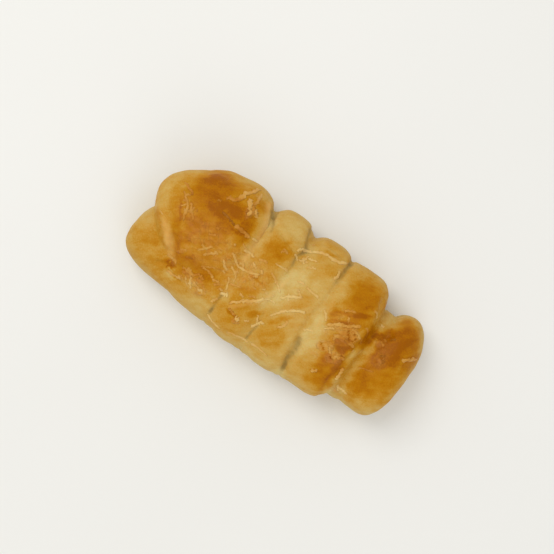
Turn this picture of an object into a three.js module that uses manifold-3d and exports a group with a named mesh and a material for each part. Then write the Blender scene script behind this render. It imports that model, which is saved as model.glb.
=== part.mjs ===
// A soft bread roll: one strip of dough wound in turns into a short log, then baked in one piece.
// The turns swell in the oven and fuse, so the roll is one solid with a crease between each pair of turns.
// Millimetres, +Z up. X runs along the roll from its fat head (-X) to its small tail (+X).
// The origin is under the middle of the roll, on the flat underside that lay on the baking tray.
import * as THREE from "three";
import { mergeVertices } from "three/addons/utils/BufferGeometryUtils.js";
import Module from "manifold-3d";

const wasm = await Module();
wasm.setup();

// Driving dimensions of the baked roll.
const LENGTH = 158;
const WIDTH = 74.5;
const HEIGHT = 42;

// A swelling is widest at this share of its own height. Below that it curls in until the tray cuts it flat.
const WIDEST_LEVEL = 0.35;
const RINGS = 24;
const SEGMENTS = 36;
const MERGE_DISTANCE = 1e-4;

// The swellings of the dough, from head to tail.
// along, across: the centre, as shares of LENGTH and WIDTH from the middle of the roll.
// long, wide: half sizes along X and Y, as shares of LENGTH and WIDTH. tall: the crown, as a share of HEIGHT.
// yaw: turn about Z in degrees. slant: shift along X per millimetre across.
// square: how boxy it is along X (2 is an ellipse). dome: how boxy its cross-section is.
const SWELLINGS = {
  core: { along: -0.022, across: -0.01, long: 0.355, wide: 0.452, tall: 0.89, square: 4, dome: 2 },
  headUnderlap: { along: -0.31, across: -0.194, long: 0.191, wide: 0.232, tall: 0.68, yaw: -3, square: 3 },
  headEnd: { along: -0.353, across: 0.085, long: 0.131, wide: 0.318, tall: 0.95, yaw: 37, square: 2.9 },
  headCap: { along: -0.26, across: 0.105, long: 0.146, wide: 0.4, tall: 1, yaw: 12, square: 3.2 },
  firstTurn: { along: -0.069, across: 0.018, long: 0.099, wide: 0.49, tall: 0.93, slant: -0.04, square: 2.5 },
  secondTurn: { along: 0.083, across: 0.014, long: 0.105, wide: 0.487, tall: 0.91, slant: -0.03, square: 3 },
  thirdTurn: { along: 0.22, across: 0.018, long: 0.107, wide: 0.463, tall: 0.94, slant: -0.04 },
  neck: { along: 0.346, across: -0.018, long: 0.07, wide: 0.335, tall: 0.735, square: 2.6 },
  tail: { along: 0.411, across: -0.057, long: 0.088, wide: 0.285, tall: 0.78, yaw: -3, square: 2.8 },
  tailCorner: { along: 0.413, across: 0.087, long: 0.09, wide: 0.305, tall: 0.786, square: 1.75 },
};
const PLAIN_SWELLING = { yaw: 0, slant: 0, square: 3, dome: 2.2 };

const crustMaterial = new THREE.MeshStandardMaterial({ color: 0xc98f3a, roughness: 0.55, metalness: 0 });

/** Moves a point of the unit sphere out or in, onto the unit form of a swelling. */
function squareUp(point, { square, dome }) {
  const section = Math.abs(point.y) ** dome + Math.abs(point.z) ** dome;
  const size = (Math.abs(point.x) ** square + section ** (square / dome)) ** (1 / square);
  return point.divideScalar(size);
}

/** A closed geometry for one swelling in the roll's frame, with its poles towards the roll's two ends. */
function swellingGeometry(swelling) {
  const crown = swelling.tall * HEIGHT;
  const geometry = new THREE.SphereGeometry(1, SEGMENTS, RINGS).rotateZ(-Math.PI / 2);
  const position = geometry.getAttribute("position");
  const point = new THREE.Vector3();
  for (let i = 0; i < position.count; i++) {
    squareUp(point.fromBufferAttribute(position, i), swelling);
    position.setXYZ(i, point.x, point.y, point.z);
  }
  geometry.scale(swelling.long * LENGTH, swelling.wide * WIDTH, crown * (1 - WIDEST_LEVEL));
  geometry.applyMatrix4(new THREE.Matrix4().makeShear(0, 0, swelling.slant, 0, 0, 0));
  geometry.rotateZ(THREE.MathUtils.degToRad(swelling.yaw));
  return geometry.translate(swelling.along * LENGTH, swelling.across * WIDTH, crown * WIDEST_LEVEL);
}

/** A manifold-3d solid from a closed geometry, with only its positions kept. */
function solidFrom(geometry) {
  const bare = geometry.clone();
  bare.deleteAttribute("normal");
  bare.deleteAttribute("uv");
  const merged = mergeVertices(bare, MERGE_DISTANCE);
  return new wasm.Manifold(
    new wasm.Mesh({
      numProp: 3,
      vertProperties: new Float32Array(merged.getAttribute("position").array),
      triVerts: new Uint32Array(merged.index.array),
    }),
  );
}

/** A three.js geometry from a manifold-3d solid. */
function geometryFrom(solid) {
  const mesh = solid.getMesh();
  const geometry = new THREE.BufferGeometry();
  geometry.setAttribute("position", new THREE.BufferAttribute(new Float32Array(mesh.vertProperties), 3));
  geometry.setIndex(new THREE.BufferAttribute(new Uint32Array(mesh.triVerts), 1));
  geometry.computeVertexNormals();
  return geometry;
}

/** The baked roll: its swellings joined, cut flat by the tray, and fitted to its size over the origin. */
function breadRollGeometry() {
  const swellings = Object.values(SWELLINGS).map((own) => ({ ...PLAIN_SWELLING, ...own }));
  const solids = swellings.map((swelling) => solidFrom(swellingGeometry(swelling)));
  const dough = solids.reduce((joined, next) => joined.add(next));
  const tray = new THREE.BoxGeometry(2 * LENGTH, 2 * WIDTH, HEIGHT).translate(0, 0, -HEIGHT / 2);
  const geometry = geometryFrom(dough.subtract(solidFrom(tray)));
  geometry.computeBoundingBox();
  const middle = geometry.boundingBox.getCenter(new THREE.Vector3());
  const size = geometry.boundingBox.getSize(new THREE.Vector3());
  geometry.translate(-middle.x, -middle.y, 0);
  return geometry.scale(LENGTH / size.x, WIDTH / size.y, HEIGHT / size.z);
}

const breadRoll = new THREE.Mesh(breadRollGeometry(), crustMaterial);
breadRoll.name = "bread_roll";

const roll = new THREE.Group();
roll.add(breadRoll);

export default roll;
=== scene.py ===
"""A soft bread roll, wound from one strip of dough and baked golden with grated cheese melted onto it.

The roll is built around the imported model, in metres and in its frame. X runs along the roll from its fat head
(-X) to its small tail (+X), and Z is up from the flat underside. Sizes in the tables are in millimetres.
"""

import logging
import math
import random
from dataclasses import dataclass
from enum import Enum

import bmesh
import bpy
import numpy as np
from mathutils import Matrix, Vector, noise
from mathutils.bvhtree import BVHTree

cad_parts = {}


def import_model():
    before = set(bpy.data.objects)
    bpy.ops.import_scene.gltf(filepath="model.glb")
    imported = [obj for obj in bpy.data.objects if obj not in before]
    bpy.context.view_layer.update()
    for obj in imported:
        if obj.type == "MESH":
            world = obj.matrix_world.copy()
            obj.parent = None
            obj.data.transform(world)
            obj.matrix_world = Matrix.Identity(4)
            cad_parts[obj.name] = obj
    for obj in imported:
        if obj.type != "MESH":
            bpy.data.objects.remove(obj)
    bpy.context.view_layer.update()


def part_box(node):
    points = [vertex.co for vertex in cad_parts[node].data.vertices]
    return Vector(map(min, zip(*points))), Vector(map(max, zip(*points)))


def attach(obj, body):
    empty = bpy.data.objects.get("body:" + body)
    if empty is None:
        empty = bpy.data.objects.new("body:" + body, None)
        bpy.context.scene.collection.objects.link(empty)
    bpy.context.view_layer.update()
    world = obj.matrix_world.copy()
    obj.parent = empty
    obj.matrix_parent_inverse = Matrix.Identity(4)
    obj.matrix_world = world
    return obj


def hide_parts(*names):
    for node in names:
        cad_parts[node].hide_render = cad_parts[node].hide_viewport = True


LOG = logging.getLogger("bread_roll")
MM = 0.001
CUT_TOLERANCE = 1e-7


# ---------------------------------------------------------------- small helpers


def linear(code: str) -> tuple[float, float, float, float]:
    """The linear colour of a six-digit display colour.

    Args:
        code: The colour as red, green and blue in hexadecimal.

    Returns:
        The linear red, green, blue and an alpha of 1.
    """
    parts = [int(code[i : i + 2], 16) / 255 for i in (0, 2, 4)]
    bent = [c / 12.92 if c <= 0.04045 else ((c + 0.055) / 1.055) ** 2.4 for c in parts]
    return (bent[0], bent[1], bent[2], 1.0)


def smoothstep(low: float, high: float, value: np.ndarray) -> np.ndarray:
    """Zero below low, one above high, and a smooth rise between them."""
    t = np.clip((value - low) / (high - low), 0.0, 1.0)
    return t * t * (3.0 - 2.0 * t)


def distance_to_path(x: np.ndarray, y: np.ndarray, path: tuple[tuple[float, float], ...]) -> np.ndarray:
    """The distance from each point to the nearest stretch of a path, seen from above.

    Args:
        x: Where each point is along the roll.
        y: Where each point is across the roll.
        path: The corners of the path, in the same unit.

    Returns:
        One distance per point.
    """
    nearest = np.full(len(x), np.inf)
    for (ax, ay), (bx, by) in zip(path, path[1:]):
        dx, dy = bx - ax, by - ay
        t = np.clip(((x - ax) * dx + (y - ay) * dy) / (dx * dx + dy * dy), 0, 1)
        nearest = np.minimum(nearest, np.hypot(x - ax - t * dx, y - ay - t * dy))
    return nearest


def mesh_object(name: str, bm: bmesh.types.BMesh, smooth: bool = True) -> bpy.types.Object:
    """Turns a bmesh into an object at the origin, and frees the bmesh.

    Args:
        name: The name of the object and of its mesh.
        bm: The bmesh.
        smooth: Whether its faces are shaded smooth.

    Returns:
        The object, linked to the scene.
    """
    mesh = bpy.data.meshes.new(name)
    bm.to_mesh(mesh)
    bm.free()
    if smooth:
        mesh.shade_smooth()
    made = bpy.data.objects.new(name, mesh)
    bpy.context.scene.collection.objects.link(made)
    return made


def join_in(part: bmesh.types.BMesh, whole: bmesh.types.BMesh) -> None:
    """Adds a finished part to a larger bmesh, and frees the part.

    Args:
        part: The bmesh that is added.
        whole: The bmesh that takes it.
    """
    loose = bpy.data.meshes.new("part")
    part.to_mesh(loose)
    part.free()
    whole.from_mesh(loose)
    bpy.data.meshes.remove(loose)


def write_values(mesh: bpy.types.Mesh, name: str, values: np.ndarray) -> None:
    """Stores one number per vertex, for a material to read by name."""
    attribute = mesh.attributes.new(name, "FLOAT", "POINT")
    attribute.data.foreach_set("value", values.astype(np.float32))


@dataclass(frozen=True)
class Plan:
    """A plan of the roll as seen from a point above it, in millimetres: what is higher is drawn larger."""

    eye: tuple[float, float, float] = (-4.5, 4.4, 480.0)
    true_level: float = 15.0

    def of(self, points: np.ndarray) -> np.ndarray:
        """Each point moved to its place on the plan, at its own height.

        Args:
            points: One row per point, in millimetres.

        Returns:
            One row per point, in millimetres.
        """
        centre = np.array(self.eye[:2])
        growth = (self.eye[2] - self.true_level) / (self.eye[2] - points[:, 2])
        return np.column_stack([centre + (points[:, :2] - centre) * growth[:, None], points[:, 2]])

    def sight(self, x: float, y: float) -> tuple[Vector, Vector]:
        """The eye, in metres, and the direction from it through a place on the plan."""
        eye = Vector(self.eye)
        return eye * MM, (Vector((x, y, self.true_level)) - eye).normalized()


# ---------------------------------------------------------------- the dough


@dataclass(frozen=True)
class Grain:
    """Smooth noise laid over the dough.

    The amount is how far it swings to either side of zero. The cell is the size of its lumps along X, Y and Z,
    in millimetres. The shift moves the noise, so that two grains of one cell differ. The stride moves it again
    for each of a row of like things.
    """

    amount: float
    cell: tuple[float, float, float]
    shift: float = 0.0
    stride: float = 0.0

    def at(self, points: np.ndarray, number: int = 0) -> np.ndarray:
        """The noise at each point.

        Args:
            points: One row per point, in millimetres.
            number: The place in its row of the thing that the noise is for.

        Returns:
            One value per point.
        """
        scaled = points / np.array(self.cell) + (self.shift + self.stride * number)
        return self.amount * np.array([noise.noise(Vector(row)) for row in scaled.tolist()])


@dataclass(frozen=True)
class Swelling:
    """One rounded turn of risen dough. Lengths are shares of the roll's length, width and height.

    It is widest at a set share of its own height and curls in below that, down to the tray.
    """

    along: float
    across: float
    long: float
    wide: float
    tall: float
    yaw: float = 0.0
    slant: float = 0.0
    square: float = 3.0
    dome: float = 2.2
    widest_level: float = 0.35
    segments: int = 72
    rings: int = 56

    def add_to(self, bm: bmesh.types.BMesh, size: Vector) -> None:
        """Adds the swelling, cut flat by the tray and closed there.

        Args:
            bm: The bmesh that takes it.
            size: The roll's length, width and height in metres.
        """
        part = bmesh.new()
        crown = self.tall * size.z
        bmesh.ops.create_uvsphere(part, u_segments=self.segments, v_segments=self.rings, radius=1.0)
        lay_down = Matrix.Rotation(math.pi / 2, 3, "Y")
        bmesh.ops.rotate(part, verts=part.verts, cent=(0, 0, 0), matrix=lay_down)
        for vert in part.verts:
            section = abs(vert.co.y) ** self.dome + abs(vert.co.z) ** self.dome
            solid = abs(vert.co.x) ** self.square + section ** (self.square / self.dome)
            vert.co /= solid ** (1 / self.square)
        reach = (self.long * size.x, self.wide * size.y, crown * (1 - self.widest_level))
        bmesh.ops.scale(part, vec=reach, verts=part.verts)
        shear = Matrix(((1, self.slant, 0, 0), (0, 1, 0, 0), (0, 0, 1, 0), (0, 0, 0, 1)))
        turn = Matrix.Rotation(math.radians(self.yaw), 4, "Z")
        middle = (self.along * size.x, self.across * size.y, crown * self.widest_level)
        place = Matrix.Translation(middle)
        bmesh.ops.transform(part, matrix=place @ turn @ shear, verts=part.verts)
        everything = list(part.verts) + list(part.edges) + list(part.faces)
        tray = {"plane_co": (0, 0, 0), "plane_no": (0, 0, 1), "clear_inner": True}
        bmesh.ops.bisect_plane(part, geom=everything, dist=CUT_TOLERANCE, **tray)
        rim = [edge for edge in part.edges if edge.is_boundary]
        bmesh.ops.holes_fill(part, edges=rim, sides=0)
        bmesh.ops.recalc_face_normals(part, faces=part.faces)
        join_in(part, bm)


@dataclass(frozen=True)
class Crease:
    """A narrow groove where two layers of dough meet, or a raised fold if its depth is negative.

    The path is in millimetres, seen from above. The groove has one depth on the crown and one on the flanks.
    Its positive amount is painted shade that darkens the groove; a negative one is a painted highlight that
    pales the fold, partly the paler stretched dough there.
    """

    path: tuple[tuple[float, float], ...]
    depth: float
    flank_depth: float
    width: float = 1.0
    lip: float = 0.18
    shade_and_highlight: float = 1.0
    wander: float = 0.7


@dataclass(frozen=True)
class Patch:
    """A soft-edged oval area of the crust, in millimetres and degrees, that adds to a value there."""

    x: float
    y: float
    half_x: float
    half_y: float
    amount: float
    turn: float = 0.0
    edge: float = 0.55

    def cover(self, points: np.ndarray) -> np.ndarray:
        """How much of the patch each point gets: its amount inside, fading to zero at the edge.

        Args:
            points: One row per point on the plan, in millimetres.

        Returns:
            One value per point.
        """
        angle = math.radians(self.turn)
        dx, dy = points[:, 0] - self.x, points[:, 1] - self.y
        along = (dx * math.cos(angle) + dy * math.sin(angle)) / self.half_x
        across = (dy * math.cos(angle) - dx * math.sin(angle)) / self.half_y
        return self.amount * (1.0 - smoothstep(self.edge, 2.0 - self.edge, np.hypot(along, across)))


def covered(patches: tuple[Patch, ...], points: np.ndarray) -> np.ndarray:
    """What all the patches of a table add up to at each point."""
    return sum(patch.cover(points) for patch in patches)


SWELLINGS = (
    # The core that the turns are wound over.
    Swelling(-0.022, -0.01, 0.355, 0.452, 0.89, square=4, dome=2),
    # The paler layer under the head, then the head's end and its dome.
    Swelling(-0.31, -0.194, 0.193, 0.232, 0.68, yaw=-3, square=3.6),
    Swelling(-0.352, 0.085, 0.127, 0.318, 0.95, yaw=37, square=2.9),
    Swelling(-0.26, 0.105, 0.146, 0.4, 1.0, yaw=12, square=3.2),
    # The three turns.
    Swelling(-0.067, 0.018, 0.101, 0.49, 0.93, slant=-0.04, square=2.9),
    Swelling(0.083, 0.014, 0.105, 0.487, 0.91, slant=-0.03),
    Swelling(0.22, 0.016, 0.107, 0.463, 0.94, slant=-0.05, square=3.9),
    # The waist, then the tail and its peak.
    Swelling(0.336, -0.02, 0.07, 0.345, 0.735, square=2.6),
    Swelling(0.411, -0.06, 0.089, 0.292, 0.78, yaw=-3, square=3.6),
    Swelling(0.418, 0.087, 0.088, 0.305, 0.786, square=1.95),
)

# A positive amount on a crease paints shade into its groove; a negative one paints a highlight along a raised
# fold.
HEAD_SEAM = (
    Crease(
        ((-29, 41), (-24, 30), (-19.5, 20), (-18.8, 8), (-20, 0), (-22, -12), (-21.5, -26), (-21.5, -45)),
        0.3, 0.7, shade_and_highlight=0.25,
    ),
    Crease(((-25, 31), (-22.5, 28), (-20, 23)), 0.5, 0.5, width=1.1, shade_and_highlight=0.7),
    Crease(((-22, -17), (-21.2, -22), (-21.4, -28)), 0.5, 0.5),
    Crease(((-29, 33), (-25, 24), (-22.8, 15), (-22.5, 3)), -0.7, -0.7, width=2.2, lip=0, shade_and_highlight=-0.45),
    Crease(((-31.5, 27), (-29, 19), (-28, 12), (-31, 2)), 0.4, 0.4, width=1.4, lip=0, shade_and_highlight=0.0),
)
BULGE_FOLD = Crease(((-21, 26), (-15, 25), (-9, 23), (-3, 21.5)), 0.5, 0.5, width=1.2, shade_and_highlight=0.2)
MIDDLE_SEAM = (
    Crease(
        ((-5, 44), (-2, 31), (0.5, 25), (-1.5, 20), (-0.5, 14), (0, 6), (0.5, -10), (1.5, -27), (2, -45)),
        0.25, 0.45, shade_and_highlight=0.25,
    ),
    Crease(((-4.5, 35), (-1.5, 29), (0.5, 26), (-1.2, 21.5), (-1, 15)), 0.4, 0.4, width=1.1, shade_and_highlight=0.75),
    Crease(((1.5, -13), (1.7, -20), (1.4, -28)), 0.5, 0.5, width=0.9, shade_and_highlight=0.9),
    Crease(
        ((-14, -20), (-8, -13.5), (-3, -8.5), (-0.5, -1), (1, 8)),
        -0.6, -0.6, width=1.6, lip=0, shade_and_highlight=-0.4,
    ),
)
THIRD_SEAM = (
    Crease(
        ((22, 45), (22.5, 32), (22, 22), (23.5, 12), (22, 2), (21.5, -8), (23, -20), (25.5, -32), (26, -45)),
        0.35, 0.6, shade_and_highlight=0.35,
    ),
    Crease(((23, 33), (22.8, 28), (22.4, 21)), 0.5, 0.6, width=1.4, shade_and_highlight=0.55, wander=1.2),
    Crease(((23.6, -13), (24.8, -19), (24.6, -25), (25.4, -30)), 0.9, 0.8, width=1.1, wander=0.6),
    Crease(((23.8, -6), (24.6, -18), (25, -31)), 0.15, 0.15, width=2.2, shade_and_highlight=0.2),
    Crease(((27, 22), (27.5, 8), (27, -6), (28, -18), (30, -28)), -0.5, -0.5, width=2.4, lip=0, shade_and_highlight=-0.2),
)
TAIL_SEAM = (
    Crease(
        ((47, 28), (50, 18), (52, 11), (50.8, 5), (49.5, -3), (49.5, -12), (49, -20), (49.5, -40)),
        0.8, 0.9, width=1.3, shade_and_highlight=0.2,
    ),
    Crease(((54, 10.5), (57.5, 11.5), (61, 14.5)), 0.9, 0.9, width=1.2, shade_and_highlight=0.0),
    Crease(((58.5, 8), (56.8, 0), (57, -8), (58.5, -16), (60.5, -22)), 0.45, 0.45, width=1.3, shade_and_highlight=0.0),
)
HEAD_FOLD = (
    Crease(
        ((-72, 4), (-66, -1.5), (-60, -7.5), (-56, -12.5), (-53, -17)),
        1.3, 1.3, width=2.4, lip=0.1, shade_and_highlight=0.0, wander=0.5,
    ),
    Crease(
        ((-72, -0.5), (-67.5, -3.8), (-63.5, -7.5), (-59.5, -11.5), (-55.5, -15.8), (-51, -18.4)),
        -0.7, -0.7, width=2.3, lip=0, shade_and_highlight=-0.26, wander=0.3,
    ),
    Crease(
        ((-66, -5.2), (-62.5, -8.6), (-58.5, -12.8), (-55.5, -15.9)),
        -0.5, -0.5, width=2.9, lip=0, shade_and_highlight=-0.26, wander=0.3,
    ),
    Crease(((-58, -23), (-54, -21.6), (-50, -21)), 0.7, 0.7, shade_and_highlight=0.1),
    Crease(((-53, -22.4), (-48, -23.8), (-42.5, -24.6)), 0.7, 0.7, width=0.6, shade_and_highlight=0.2),
    Crease(((-42, -24), (-36, -22.5), (-30, -21.5), (-24, -22)), 0.4, 0.5, width=0.9, shade_and_highlight=0.2),
    Crease(((-69, 15.5), (-63, 13.5), (-59, 10), (-54.5, 7.5)), 0.4, 0.4, width=0.7, shade_and_highlight=0.0),
)
CHEESE_POCKET = Crease(((41, -6), (44, -5), (46.5, -4)), 1.2, 1.2, width=1.1, lip=0.3, shade_and_highlight=0.0)
TOP_HEM = Crease(((4, 32.5), (11, 33.2), (20, 32)), 0.4, 0.4, width=0.7, shade_and_highlight=0.35)
CREASES = (
    *HEAD_SEAM, BULGE_FOLD, *MIDDLE_SEAM, *THIRD_SEAM, *TAIL_SEAM, *HEAD_FOLD, CHEESE_POCKET, TOP_HEM
)

# How much browner each area of the crust baked, or paler where the amount is below zero. The marked ones are
# painted shade.
BROWN_AND_SHADE_PATCHES = (
    # The head: its dome, its rim and the pale layer under it.
    Patch(-57, 21, 9, 10, 0.48),
    Patch(-42, 17.5, 11, 8, 0.44),
    Patch(-54, 29, 8, 5, 0.25),
    Patch(-42, 30, 9, 5, 0.2),
    Patch(-31, 15, 3.5, 8, 0.36),
    Patch(-24, 26, 3, 6, -0.2),
    Patch(-76, 10, 3, 9, -0.06),
    Patch(-50, 24, 5, 4, -0.18),
    Patch(-41, 22, 6, 4.5, 0.16),
    Patch(-70, 14, 5, 6, 0.13),
    Patch(-32, 29, 4, 4, 0.18),
    Patch(-26, 13, 3, 8, 0.08),
    Patch(-30, 4, 3, 3, 0.14),
    Patch(-77, -6, 3, 5, -0.08),
    Patch(-70, -5, 6, 4, 0.14, turn=-42),
    Patch(-70, -15, 6, 4, 0.1),
    Patch(-60, -10, 7, 2, 0.1, turn=-46),
    Patch(-64, 6, 6, 7, 0.2),
    Patch(-60, 8, 3, 4, -0.12),
    Patch(-53, 4, 5, 6, 0.17),
    Patch(-55, 12, 4, 2.5, -0.12),
    Patch(-50, 5, 12, 9, 0.26),
    Patch(-46, -1, 5, 5, -0.1),
    Patch(-54, -3, 4, 5, 0.1),
    Patch(-33, 7, 3, 4, -0.14),
    Patch(-38, 2, 9, 9, 0.17),
    Patch(-59, -6, 9, 3, 0.28, turn=-46),
    Patch(-57, -15.5, 5, 1.6, -0.1, turn=-46),
    Patch(-62, -21, 6, 3, -0.06),
    Patch(-45, -8, 11, 6, 0.2),
    Patch(-42, -15, 13, 5, 0.3),
    Patch(-31, -15, 6, 7, 0.12),
    Patch(-31.5, -8, 3, 5, 0.16),
    # Painted shade: a dark line under the edge of the head's cap.
    Patch(-44, -20.5, 4, 2, 0.15),
    Patch(-52.5, -20.6, 4, 1.8, 0.42, turn=8),
    Patch(-50, -24, 5, 1.6, -0.2, turn=-4),
    Patch(-50, -28.5, 6, 2.5, 0.1),
    Patch(-64, -18, 12, 9, 0.1),
    Patch(-57, -22, 6, 4, 0.14),
    Patch(-41, -26, 5, 3, 0.12),
    # Both sides of the head's seam, and the head's lower edge.
    Patch(-22, -9, 6, 9, 0.15),
    Patch(-26, -29, 10, 5, -0.15),
    Patch(-50, -33, 25, 4, -0.05),
    Patch(-20, -16, 2.5, 4, -0.2),
    Patch(-20, 1, 2.5, 3, -0.1),
    Patch(-23, 17, 3, 13, -0.08),
    Patch(-19.5, 14, 1.8, 9, -0.12),
    # The first turn.
    Patch(-13, 31, 11, 7, -0.16),
    Patch(-14, 21.5, 5, 3, 0.04),
    Patch(-12.5, 14.5, 7, 6.5, 0.3, edge=0.45),
    Patch(-4, 14, 2, 4, -0.12),
    Patch(-19.5, 9, 2, 6, 0.12),
    Patch(-20, -22, 2.5, 4, 0.12),
    Patch(-14, 5, 5, 5, 0.08),
    Patch(-12, -5, 5, 5, 0.2),
    Patch(-5, -11, 3.5, 4, 0.2),
    Patch(-7, 4, 3, 5, 0.1),
    Patch(-12, -18, 6, 9, 0.13),
    Patch(-8, -27, 9, 4, 0.1),
    Patch(-3, -7, 2.6, 7, -0.18, turn=-14),
    # The second turn.
    Patch(4, 6, 6, 11, -0.3),
    Patch(2, 26, 4, 4, -0.2),
    Patch(1, -4, 3.5, 8, -0.12),
    Patch(17, 11, 8, 10, -0.15),
    Patch(6, 4, 4, 3, 0.14),
    Patch(14, 7, 4, 3, 0.12),
    Patch(25, -33, 3, 3, -0.2),
    Patch(13, -8, 5, 3, 0.1),
    Patch(14, 26, 10, 4, 0.02),
    Patch(14, -7, 8, 8, -0.12),
    Patch(11, -20, 6, 6, 0.1),
    Patch(20, -21, 3.5, 6, -0.12),
    Patch(3, -29, 8, 4, -0.1),
    # The third seam and the third turn.
    Patch(24, -2, 3, 9, -0.1),
    Patch(27.5, -9, 3.5, 14, -0.28),
    Patch(37, 1, 3, 5, -0.12),
    Patch(41, -8, 4, 2, -0.16),
    Patch(40, -12.5, 3, 2, 0.14),
    Patch(38, 4, 4, 2, -0.14, turn=20),
    Patch(52, -11, 2, 6, 0.12),
    Patch(40, -23, 3, 4, -0.14),
    Patch(49, -8, 1.6, 3, 0.2),
    Patch(50.5, 16, 3, 4, 0.14),
    Patch(39, 23, 9, 9, 0.4, edge=0.5),
    Patch(30, 27, 4, 4, 0.08),
    Patch(27, 20, 3, 6, -0.05),
    Patch(31.5, 9, 3, 4, 0.12),
    Patch(30, 8, 3, 3, 0.15),
    Patch(40, 9, 8, 5, 0.24, turn=20, edge=0.4),
    Patch(45, 13, 4, 5, 0.15),
    Patch(43, -2, 6, 3, 0.3, turn=-10),
    Patch(43.5, -10, 3, 2, -0.1),
    Patch(44.5, 4, 3, 2.5, 0.06),
    Patch(48, -12, 2, 5, 0.25),
    Patch(32, -4, 2.5, 5, -0.1),
    Patch(51.6, 8, 3, 7, 0.5, turn=-15),
    Patch(44.3, -5, 3, 1.8, 0.6, turn=15),
    Patch(43.5, -19, 6, 11, 0.36, edge=0.5),
    Patch(41, 0, 8, 7, 0.22),
    Patch(38, -10, 5, 6, 0.15),
    Patch(39, -20, 4, 8, 0.1),
    Patch(48, -14, 2.5, 14, 0.2),
    Patch(50, -24, 3, 5, -0.2),
    Patch(49.5, -5, 2, 3, -0.16),
    Patch(39, -32, 10, 3, -0.1),
    # The lower edge of the turns.
    Patch(20, -34, 10, 4, -0.2),
    Patch(-3, -36, 24, 4, -0.2),
    # The waist and the tail.
    Patch(54, 19, 4, 4, -0.05),
    # Painted shade in the pocket at the waist's notch.
    Patch(57, 11.5, 4, 2, 0.4, turn=25),
    Patch(54.5, -7, 3.5, 14, 0.06),
    Patch(57, 22, 3, 4, -0.15),
    Patch(65, 14, 8, 11, 0.5, edge=0.5),
    Patch(59, 9, 2.5, 5, 0.1),
    Patch(76.5, 9, 2, 7, 0.15),
    Patch(62.5, 4, 5, 7, 0.32),
    Patch(71.5, 13, 4, 9, 0.16),
    Patch(60.5, 22.5, 2.5, 4, -0.22),
    Patch(65, 14, 3, 5, 0.1),
    Patch(74.5, 2, 3, 4, -0.12),
    Patch(61, 2, 3, 6, 0.1),
    Patch(66, 24, 4, 4, 0.1),
    Patch(67.5, -3, 9, 10, 0.36, edge=0.6),
    Patch(61.5, -14, 4, 8, 0.26, turn=12, edge=0.6),
    Patch(76, -12, 2, 4, 0.15),
    Patch(72, -16, 5, 4, 0.12),
    Patch(68, -16, 5, 4, 0.1),
    Patch(76.5, 5, 2.5, 9, 0.2),
    Patch(73, -20, 7, 5, -0.1),
    Patch(60, -27, 10, 3, -0.2),
)
# Narrow streaks of the same kind, on the crown only. The marked one is a painted shadow.
STREAKS_AND_SHADOW_LINE = (
    Patch(13, 0.6, 8, 1.8, 0.14, turn=40),
    Patch(10, -11, 5.5, 1.5, 0.24, turn=48),
    Patch(38.5, 7.2, 4.5, 0.9, 0.28, turn=32),
    Patch(38.5, 12.2, 8, 0.9, 0.24, turn=22),
    Patch(35, 8, 5, 1.0, -0.16, turn=36),
    Patch(31.5, 3.5, 3, 1.2, 0.2, turn=45),
    Patch(43.5, 15.6, 4, 0.7, 0.2, turn=20),
    Patch(-3, -16, 4, 1.6, 0.22, turn=45),
    Patch(-12.5, -22.5, 3, 0.8, 0.3, turn=-12),
    Patch(-64, 4.5, 6, 0.6, 0.3, turn=-57),
    # Painted shadow: the dark line beside a melted strand of cheese.
    Patch(-40, 13.2, 6, 0.8, 0.3, turn=-14),
    Patch(-49, -23.4, 6, 0.6, 0.2, turn=-10),
    Patch(11, 31, 3, 0.9, 0.2),
    Patch(-13, -1, 7, 0.7, 0.22, turn=-10),
)
# How much melted cheese soaked into each area.
MELT_PATCHES = (
    Patch(-44, -1, 13, 12, 0.85),
    Patch(-62, 6, 7, 7, 0.5),
    Patch(-24, -4, 8, 12, 0.7),
    Patch(-12, 0, 7, 9, 0.7),
    Patch(38, 4, 9, 10, 0.6),
    Patch(40, -10, 8, 7, 0.6),
    Patch(62, 2, 5, 9, 0.5),
    Patch(14, -3, 8, 10, 0.3),
    Patch(-36, -21, 9, 4, 0.6),
)
# How thick each lump of melted cheese is, in millimetres.
CHEESE_LUMPS = (
    Patch(43, 3.2, 4.6, 4.2, 0.9, turn=20),
    Patch(43.5, -10.5, 4.6, 2.6, 0.8, turn=35),
    Patch(36.5, -8, 4.2, 2.8, 0.6, turn=20),
    Patch(36, 2.5, 3.4, 1.5, 0.6, turn=25),
    Patch(-35, 24.5, 1.7, 4.2, 0.7, turn=8),
    Patch(-33, 25, 2.4, 1.2, 0.6, turn=35),
    Patch(-41, -19.3, 3.4, 1.3, 0.5, turn=-15),
    Patch(-35, -18.3, 2.2, 1.4, 0.5),
    Patch(-31.6, -23.4, 1.6, 1.0, 0.7, turn=10),
    Patch(-8.5, -24.4, 1.8, 1.2, 0.8, turn=10),
    Patch(-52, -12.3, 2.6, 0.8, 0.4, turn=28),
    Patch(64, 1.2, 1.4, 2.0, 0.4, turn=20),
    Patch(57.5, 8, 2.2, 1.8, 0.4),
    Patch(53.5, -22.8, 2.2, 1.5, 0.5),
)


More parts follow.
